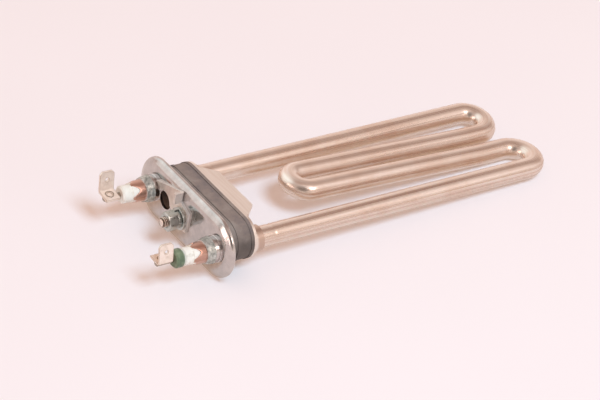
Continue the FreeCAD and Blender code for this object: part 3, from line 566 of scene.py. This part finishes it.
root_shaded = new_material("greased_zinc_thread")
place = add_node(root_shaded, "ShaderNodeTexCoord").outputs["Object"]
across = add_node(root_shaded, "ShaderNodeVectorMath", {0: place, 1: (0, 1, 1)}, operation="MULTIPLY")
depth = add_node(root_shaded, "ShaderNodeVectorMath", {0: across.outputs["Vector"]}, operation="LENGTH")
# Painted shade and highlight: dark in the thread's roots, light on the crests.
crest = add_node(root_shaded, "ShaderNodeMapRange", {
    "Value": depth.outputs["Value"], "From Min": (STUD_R - THREAD_DEPTH) * MM, "From Max": STUD_R * MM})
along = add_node(root_shaded, "ShaderNodeSeparateXYZ", {0: place})
tip = add_node(root_shaded, "ShaderNodeMapRange", {
    "Value": along.outputs["X"], "From Min": ROOT_SHADE_ENDS_X * MM, "From Max": LIGHT_TIP_X * MM})
unshaded = add_node(root_shaded, "ShaderNodeMath", {
    0: crest.outputs["Result"], 1: tip.outputs["Result"]}, operation="MAXIMUM")
tint = add_node(root_shaded, "ShaderNodeValToRGB", {"Fac": unshaded.outputs["Value"]},
                [(0.25, "5E4A3E"), (0.6, "A8968A"), (0.95, "F1E6DF")])
finish_material(root_shaded, {"Base Color": tint.outputs["Color"], "Metallic": 1.0, "Roughness": 0.24})
finish_piece(stud, root_shaded, "hardware_steel", "clamp_stud")


# Earth tab: tinned sheet under the nut, cut round the sensor hole, with a lug turned out that
# keeps a ring terminal from turning.

# Tin plate: warm and bright, with dull clouds, and edges painted pale, a painted highlight.

tinned = new_material("tinned_earth_sheet")
place = add_node(tinned, "ShaderNodeTexCoord").outputs["Object"]
cloud = add_node(tinned, "ShaderNodeTexNoise", {"Vector": place, "Scale": scale_of(3.33), "Detail": 5.0})
tint = add_node(tinned, "ShaderNodeValToRGB", {"Fac": cloud.outputs["Fac"]},
                [(0.3, "D3CAC2"), (0.7, "F2EBE4")])
haze = add_node(tinned, "ShaderNodeMapRange", {
    "Value": cloud.outputs["Fac"], "To Min": 0.22, "To Max": 0.4})
# Painted highlight: the tab's edges are mixed towards a pale cream.
coat = add_node(tinned, "ShaderNodeMix", {
    FACTOR: edge_wear_and_highlight(tinned, 0.35), COLOUR_A: tint.outputs["Color"], COLOUR_B: hex_colour("FFF6EE")},
    data_type="RGBA")
finish_material(tinned, {
    "Base Color": coat.outputs[MIXED], "Metallic": 0.65, "Roughness": haze.outputs["Result"]})
dress_solid("earth_tab", tinned)


# Washers: a flat washer punched from sheet lies on the earth tab, and on it a slit spring washer
# wound from square wire, whose ends stand a little apart. Both are zinc-plated steel, and their
# edges are rounded.

WASHER_BORE_R = 2.25
FLAT_X = (-5.1, -3.8)
FLAT_R = 4.5
FLAT_EASE = 0.18
WIRE_X = (-6.5, -5.2)
WIRE_R = 3.6
WIRE_EASE = 0.22
WIRE_CLIMB = 0.18
WIRE_STEPS = 70
SLIT_START = 90.0
SLIT_END = 434.0


def ring_section(low_x, high_x, inner, outer, ease):
    """The points of a ring's section, as x and radius, with eased corners."""
    points = []
    corners = [(low_x, inner, 180), (high_x, inner, 270), (high_x, outer, 0), (low_x, outer, 90)]
    for x, radius, turn in corners:
        centre_x = x + ease if x == low_x else x - ease
        centre_r = radius + ease if radius == inner else radius - ease
        for part in range(4):
            angle = math.radians(turn + 30 * part)
            points.append((centre_x + ease * math.cos(angle), centre_r + ease * math.sin(angle)))
    return points


def swept_ring(section, degrees, climb=0.0):
    """Loops of a section turned about the stud's axis through a list of degrees."""
    loops = []
    for i, degree in enumerate(degrees):
        angle = math.radians(degree)
        shift = climb * (i / (len(degrees) - 1) - 0.5)
        loops.append([(x + shift, math.cos(angle) * r, math.sin(angle) * r) for x, r in section])
    return loops


# Zinc-plated hardware: dulled, grey with a greenish cast; a painted highlight lightens its edges.

plated = new_material("zinc_plated_hardware")
place = add_node(plated, "ShaderNodeTexCoord").outputs["Object"]
cloud = add_node(plated, "ShaderNodeTexNoise", {"Vector": place, "Scale": scale_of(2.0), "Detail": 4.0})
tint = add_node(plated, "ShaderNodeValToRGB", {"Fac": cloud.outputs["Fac"]},
                [(0.3, "B4BAB8"), (0.7, "D6DBDA")])
haze = add_node(plated, "ShaderNodeMapRange", {
    "Value": cloud.outputs["Fac"], "To Min": 0.2, "To Max": 0.38})
# Painted highlight: the edges are mixed towards near-white.
coat = add_node(plated, "ShaderNodeMix", {
    FACTOR: edge_wear_and_highlight(plated, 0.2), COLOUR_A: tint.outputs["Color"], COLOUR_B: hex_colour("F2F2F0")},
    data_type="RGBA")
finish_material(plated, {
    "Base Color": coat.outputs[MIXED], "Metallic": 1.0, "Roughness": haze.outputs["Result"]})

flat_section = ring_section(*FLAT_X, WASHER_BORE_R, FLAT_R, FLAT_EASE)
flat_washer = loft("flat_washer", swept_ring(flat_section, range(0, 360, 5)), 50, last_meets_first=True)
finish_piece(flat_washer, plated, "hardware_steel", "plain_washer")
wire_section = ring_section(*WIRE_X, WASHER_BORE_R, WIRE_R, WIRE_EASE)
wire_turn = [SLIT_START + (SLIT_END - SLIT_START) * i / WIRE_STEPS for i in range(WIRE_STEPS + 1)]
lock_washer = loft("slit_washer", swept_ring(wire_section, wire_turn, WIRE_CLIMB), 50)
finish_piece(lock_washer, plated, "hardware_steel", "spring_washer")


# Clamp nut: hexagon nut, cold-formed steel, zinc-plated, 7 mm across its flats. The corners of
# its outer side are turned down to a cone, and its bore is threaded.

NUT_FRONT_X = -10.6
NUT_SEAT_X = -6.6
NUT_LONG = NUT_SEAT_X - NUT_FRONT_X
NUT_HALF = 3.5
NUT_CORNER = 1.14
NUT_EASE = 0.1
CONE_RISE = 1.7
NUT_BORE_R = 2.0
FRONT_CHAMFER_LONG = 0.5
FRONT_CHAMFER_WIDE = 0.4
SEAT_CHAMFER = 0.2
NUT_AROUND = 96


def hexagon_radius(angle):
    """The radius of the nut at an angle from +Y, with corners on ±Y that are eased a little."""
    return min(NUT_HALF / math.cos(math.radians(math.degrees(angle) % 60 - 30)), NUT_HALF * NUT_CORNER)


def nut_loop(x, radius_at):
    """A loop of the nut at x."""
    return turned_loop(x, radius_at, NUT_AROUND)


loops = [nut_loop(NUT_FRONT_X + FRONT_CHAMFER_LONG, lambda a: NUT_BORE_R)]
loops.append(nut_loop(NUT_FRONT_X, lambda a: NUT_BORE_R + FRONT_CHAMFER_WIDE))
sides = [(0.0, NUT_EASE), (0.06, NUT_EASE / 2), (0.12, 0.0), (0.2, 0.0), (0.3, 0.0), (0.45, 0.0),
         (NUT_LONG - 0.12, 0.0), (NUT_LONG - 0.04, 0.04)]
for back, inset in sides:
    cone = NUT_HALF - NUT_EASE + CONE_RISE * back
    loops.append(nut_loop(NUT_FRONT_X + back, lambda a, c=cone, i=inset: min(hexagon_radius(a) - i, c)))
loops.append(nut_loop(NUT_SEAT_X, lambda a: hexagon_radius(a) - NUT_EASE))
loops.append(nut_loop(NUT_SEAT_X, lambda a: NUT_BORE_R + SEAT_CHAMFER))
loops.append(nut_loop(NUT_SEAT_X - SEAT_CHAMFER, lambda a: NUT_BORE_R))
nut = loft("hexagon_nut", loops, 25, last_meets_first=True)
finish_piece(nut, plated, "hardware_steel", "clamp_nut")


# Insulators: white ceramic bushes, pressed and fired, with a spigot in the sheath's end and a
# head outside it. The points of the sheath hold them.

# Fired ceramic: chalky white, unglazed, with faint grey handling marks and a fine grain. The
# grain is drawn at 0.3 mm, as the real one is too fine to show.

white = new_material("fired_white_ceramic")
place = add_node(white, "ShaderNodeTexCoord").outputs["Object"]
marks = add_node(white, "ShaderNodeTexNoise", {
    "Vector": place, "Scale": scale_of(2.86), "Detail": 6.0, "Roughness": 0.7})
tint = add_node(white, "ShaderNodeValToRGB", {"Fac": marks.outputs["Fac"]},
                [(0.3, "D6CFBF"), (0.45, "EEE8DA"), (0.7, "F8F3E7")])
grain = add_node(white, "ShaderNodeTexNoise", {"Vector": place, "Scale": scale_of(0.333), "Detail": 3.0})
chalky = add_node(white, "ShaderNodeBump", {
    "Height": grain.outputs["Fac"], "Strength": 0.2, "Distance": 0.08 * MM})
finish_material(white, {
    "Base Color": tint.outputs["Color"], "Roughness": 0.5, "Normal": chalky.outputs["Normal"]})
for node in ("insulator_far", "insulator_near"):
    dress_solid(node, white)


# Insulating cap: a green glazed ceramic bush, pressed and fired. It is slid over the near pin, in
# front of its white insulator, and the far pin has none.

# Coloured glaze: grey-green and a little glossy, thinner and paler on the edges.

green = new_material("green_glazed_ceramic")
place = add_node(green, "ShaderNodeTexCoord").outputs["Object"]
speck = add_node(green, "ShaderNodeTexNoise", {"Vector": place, "Scale": scale_of(2.38), "Detail": 5.0})
tint = add_node(green, "ShaderNodeValToRGB", {"Fac": speck.outputs["Fac"]},
                [(0.3, "55664F"), (0.5, "6B7A5F"), (0.75, "8A9477")])
glaze = add_node(green, "ShaderNodeMix", {
    FACTOR: edge_wear_and_highlight(green, 0.3), COLOUR_A: tint.outputs["Color"], COLOUR_B: hex_colour("A3AA8F")},
    data_type="RGBA")
finish_material(green, {"Base Color": glaze.outputs[MIXED], "Roughness": 0.3})
dress_solid("insulator_cap_near", green)


# Terminal pins: drawn steel rods, nickel-plated, that carry the current through the insulators
# to the coil. Each is flattened at its outer end for the terminal.

# Nickel plate: warm grey and bright, with drawing lines along the rod. They are drawn 0.4 mm
# apart, as the real ones are too fine to show.

nickel = new_material("nickel_plated_pin")
place = add_node(nickel, "ShaderNodeTexCoord").outputs["Object"]
stretched = add_node(nickel, "ShaderNodeMapping", {
    "Vector": place, "Scale": (scale_of(16.7), scale_of(0.4), scale_of(0.4))})
drawn = add_node(nickel, "ShaderNodeTexNoise", {
    "Vector": stretched.outputs["Vector"], "Scale": 1.0, "Detail": 3.0})
tint = add_node(nickel, "ShaderNodeValToRGB", {"Fac": drawn.outputs["Fac"]},
                [(0.3, "A39A92"), (0.7, "CDC4BB")])
finish_material(nickel, {"Base Color": tint.outputs["Color"], "Metallic": 1.0, "Roughness": 0.25})
for node in ("terminal_pin_far", "terminal_pin_near"):
    dress_solid(node, nickel)


# Blade terminals: tinned steel sheet, folded to an upright 6.3 mm blade with a latch hole, and
# resistance-welded to the pin's flat, which leaves a ring on the base.

# Tinned steel: pale, warm and soft, and darker brown along its edges.

tin = new_material("tinned_blade_steel")
place = add_node(tin, "ShaderNodeTexCoord").outputs["Object"]
cloud = add_node(tin, "ShaderNodeTexNoise", {
    "Vector": place, "Scale": scale_of(2.5), "Detail": 5.0, "Roughness": 0.65})
tint = add_node(tin, "ShaderNodeValToRGB", {"Fac": cloud.outputs["Fac"]},
                [(0.3, "E4D3C2"), (0.5, "F9E9DB"), (0.75, "FFF3E8")])
haze = add_node(tin, "ShaderNodeMapRange", {
    "Value": cloud.outputs["Fac"], "To Min": 0.26, "To Max": 0.46})
coat = add_node(tin, "ShaderNodeMix", {
    FACTOR: edge_wear_and_highlight(tin, 0.4), COLOUR_A: tint.outputs["Color"], COLOUR_B: hex_colour("A08A72")},
    data_type="RGBA")
finish_material(tin, {
    "Base Color": coat.outputs[MIXED], "Metallic": 0.5, "Roughness": haze.outputs["Result"]})
for node in ("terminal_tab_far", "terminal_tab_near"):
    dress_solid(node, tin)

# Weld scale: a thin brown crust on the metal that the weld pushed up, rough and half dull.

burnt = new_material("weld_scale")
place = add_node(burnt, "ShaderNodeTexCoord").outputs["Object"]
crust = add_node(burnt, "ShaderNodeTexNoise", {"Vector": place, "Scale": scale_of(0.556), "Detail": 5.0})
tint = add_node(burnt, "ShaderNodeValToRGB", {"Fac": crust.outputs["Fac"]},
                [(0.35, "6E5C4A"), (0.65, "B39C82")])
finish_material(burnt, {"Base Color": tint.outputs["Color"], "Metallic": 0.8, "Roughness": 0.5})

BASE_TOP = 1.8
WELD_R = 1.6
WELD_THICK = 0.17
WELD_STEPS = 40
WELD_SIDES = 10
welds = [("far", Vector((-22.65, LEG_Y, 0)), 8.0), ("near", Vector((-26.15, -LEG_Y, 0)), 1.0)]


def weld_radius(angle):
    """The radius of a weld ring, which wanders a little round it."""
    return WELD_R + 0.08 * math.sin(3 * angle) + 0.05 * math.sin(7 * angle + 1)


for side, pin, lean in welds:
    lean_turn = Matrix.Rotation(math.radians(lean), 3, "X")
    loops = []
    for angle in turns(WELD_STEPS):
        loop = []
        for turn in turns(WELD_SIDES):
            out = weld_radius(angle) + WELD_THICK * math.cos(turn)
            up = BASE_TOP + WELD_THICK * math.sin(turn)
            loop.append(pin + lean_turn @ Vector((out * math.cos(angle), out * math.sin(angle), up)))
        loops.append(loop)
    finish_piece(loft("weld_ring_" + side, loops, 60, last_meets_first=True), burnt, "terminal_tin")


# Table top: a pale sheet of paper. The flange's rim and the far bends rest on it. The bends'
# underside is the higher one, so the sheet rises by LEAN for each millimetre towards them.

LEAN = 0.0499
TABLE_Z = -12.81
TABLE_HALF = 3000.0
corners = [(-TABLE_HALF, -TABLE_HALF), (TABLE_HALF, -TABLE_HALF), (TABLE_HALF, TABLE_HALF),
           (-TABLE_HALF, TABLE_HALF)]
table_mesh = bpy.data.meshes.new("table_top")
table_mesh.from_pydata([Vector((x, y, TABLE_Z + LEAN * x)) * MM for x, y in corners], [], [(0, 1, 2, 3)])
table = bpy.data.objects.new("table_top", table_mesh)
bpy.context.scene.collection.objects.link(table)

# Pale paper: matt and faintly mottled. To the camera it also glows a little, as over-exposed
# paper does, so its shadows stay light and warm. In the metal it shows warmer and a little dimmer.

PAPER_GLOW = 0.25
PAPER_IN_METAL = 0.5

paper = new_material("pale_table_top")
place = add_node(paper, "ShaderNodeTexCoord").outputs["Object"]
pulp = add_node(paper, "ShaderNodeTexNoise", {"Vector": place, "Scale": scale_of(167), "Detail": 2.0})
tint = add_node(paper, "ShaderNodeValToRGB", {"Fac": pulp.outputs["Fac"]},
                [(0.3, "F7F2F4"), (0.7, "FAF5F7")])
matt = add_node(paper, "ShaderNodeBsdfDiffuse", {"Color": tint.outputs["Color"]})
path = add_node(paper, "ShaderNodeLightPath")
glow = add_node(paper, "ShaderNodeEmission", {"Color": hex_colour("FFE0CF"), "Strength": 1.0})
seen = add_node(paper, "ShaderNodeMath", {0: path.outputs["Is Camera Ray"], 1: PAPER_GLOW},
                operation="MULTIPLY")
direct = add_node(paper, "ShaderNodeMixShader", {
    0: seen.outputs["Value"], 1: matt.outputs["BSDF"], 2: glow.outputs["Emission"]})
dim = add_node(paper, "ShaderNodeEmission", {"Color": hex_colour("DEC0A6"), "Strength": 1.0})
mirrored = add_node(paper, "ShaderNodeMath", {0: path.outputs["Is Glossy Ray"], 1: PAPER_IN_METAL},
                    operation="MULTIPLY")
both = add_node(paper, "ShaderNodeMixShader", {
    0: mirrored.outputs["Value"], 1: direct.outputs["Shader"], 2: dim.outputs["Emission"]})
add_node(paper, "ShaderNodeOutputMaterial", {"Surface": both.outputs["Shader"]})
table_mesh.materials.append(paper)


# Camera: it looks down past the terminals' end, from far off through a long lens. Its angles,
# target, distance and focal length were fitted to the photograph's outlines.

CAMERA_AZIMUTH = -39.974
CAMERA_ELEVATION = 33.441
CAMERA_ROLL = 10.698
CAMERA_TARGET = Vector((47.438, -6.733, 0))
CAMERA_DISTANCE = 1206.02
FOCAL_LENGTH = 185.94
SENSOR_WIDTH = 36.0
CLIP_END = 10000.0


def camera_frame(azimuth, elevation, roll):
    """The camera's own right, up and backward directions."""
    a, e, r = (math.radians(v) for v in (azimuth, elevation, roll))
    back = Vector((math.sin(a) * math.cos(e), -math.cos(a) * math.cos(e), math.sin(e)))
    right = (-back).cross(Vector((0, 0, 1))).normalized()
    up = right.cross(-back)
    tilted_right = right * math.cos(r) + up * math.sin(r)
    tilted_up = up * math.cos(r) - right * math.sin(r)
    return tilted_right, tilted_up, back


right, up, back = camera_frame(CAMERA_AZIMUTH, CAMERA_ELEVATION, CAMERA_ROLL)
lens = bpy.data.cameras.new("photograph")
lens.sensor_width = SENSOR_WIDTH
lens.lens = FOCAL_LENGTH
lens.clip_end = CLIP_END * MM
camera = bpy.data.objects.new("photograph", lens)
stand = Matrix.Translation((CAMERA_TARGET + back * CAMERA_DISTANCE) * MM)
camera.matrix_world = stand @ Matrix((right, up, back)).transposed().to_4x4()
bpy.context.scene.collection.objects.link(camera)
bpy.context.scene.camera = camera


# Light: a large soft lamp above the near side throws the shadows to the far side. It isn't
# mirrored in the metal, where two small bright patches of the room stand for it.

KEY_TRAVEL = Vector((0.1, 0.66, -1.0)).normalized()
KEY_TARGET = Vector((60, 0, 0))
KEY_DISTANCE = 2000.0
KEY_WIDTH = 700.0
KEY_WATTS = 33.5

lamp = bpy.data.lights.new("key_softbox", "AREA")
lamp.size = KEY_WIDTH * MM
lamp.energy = KEY_WATTS
lamp.color = hex_colour("C4E8FF")[:3]
softbox = bpy.data.objects.new("key_softbox", lamp)
softbox.location = (KEY_TARGET - KEY_TRAVEL * KEY_DISTANCE) * MM
softbox.rotation_euler = KEY_TRAVEL.to_track_quat("-Z", "Y").to_euler()
softbox.visible_glossy = False
bpy.context.scene.collection.objects.link(softbox)

# Room: plain and warm to the matt surfaces. The metal mirrors strips that run along the heater,
# as a ramp over the angle round X from the far side over the top to the near side. On them lie
# round patches, each with the way to its middle, the cosines of the angles from there at its rim
# and at its full strength, and what it adds to the room's strength.

ROOM_STRENGTH = 1.06
CAMERA_SIDE_WAY = (-0.536, -0.640, 0.551)
WINDOW_WAY = (-0.543, 0.656, 0.523)
LOW_LAMP_WAY = (-0.985, 0.10, 0.13)
HIGH_LAMP_WAY = (0.16, -0.74, 0.65)
strips = [(0.0, "FAE6DC"), (0.14, "F4E0D6"), (0.28, "D8C4B9"), (0.38, "B59D92"), (0.49, "B39B90"),
          (0.6, "DCC8BD"), (0.7, "F2E0D7"), (0.78, "EEDCD2"), (0.86, "D4C2B8"), (0.93, "EBD9CF"),
          (1.0, "F5E3D9")]
patches = [(CAMERA_SIDE_WAY, 0.86, 0.95, -0.76), (WINDOW_WAY, 0.78, 0.93, 0.12),
           (LOW_LAMP_WAY, 0.87, 0.92, -0.6), (LOW_LAMP_WAY, 0.93, 0.965, 3.2),
           (HIGH_LAMP_WAY, 0.972, 0.99, 5.0)]

room = bpy.data.worlds.new("warm_room")
bpy.context.scene.world = room
room.use_nodes = True
room.node_tree.nodes.clear()
facing = add_node(room, "ShaderNodeTexCoord").outputs["Generated"]
axes = add_node(room, "ShaderNodeSeparateXYZ", {"Vector": facing})
turned = add_node(room, "ShaderNodeMath", {0: axes.outputs["Z"], 1: axes.outputs["Y"]}, operation="ARCTAN2")
span = add_node(room, "ShaderNodeMapRange", {"Value": turned.outputs["Value"], "From Max": math.pi})
walls = add_node(room, "ShaderNodeValToRGB", {"Fac": span.outputs["Result"]}, strips).outputs["Color"]
strength = ROOM_STRENGTH
for way, rim, full, change in patches:
    toward = add_node(room, "ShaderNodeVectorMath", {0: facing, 1: way}, operation="DOT_PRODUCT")
    share = add_node(room, "ShaderNodeMapRange", {
        "Value": toward.outputs["Value"], "From Min": rim, "From Max": full})
    total = add_node(room, "ShaderNodeMath", {0: share.outputs["Result"], 1: change, 2: strength},
                     operation="MULTIPLY_ADD")
    strength = total.outputs["Value"]
    if way == WINDOW_WAY:
        walls = add_node(room, "ShaderNodeMix", {
            FACTOR: share.outputs["Result"], COLOUR_A: walls, COLOUR_B: hex_colour("F6F6F1")},
            data_type="RGBA").outputs[MIXED]
mirrored = add_node(room, "ShaderNodeBackground", {"Color": walls, "Strength": strength})
plain = add_node(room, "ShaderNodeBackground", {"Color": hex_colour("D3B09E"), "Strength": 1.0})
path = add_node(room, "ShaderNodeLightPath")
both = add_node(room, "ShaderNodeMixShader", {
    0: path.outputs["Is Glossy Ray"], 1: plain.outputs["Background"], 2: mirrored.outputs["Background"]})
add_node(room, "ShaderNodeOutputWorld", {"Surface": both.outputs["Shader"]})
bpy.context.scene.view_settings.view_transform = "Standard"
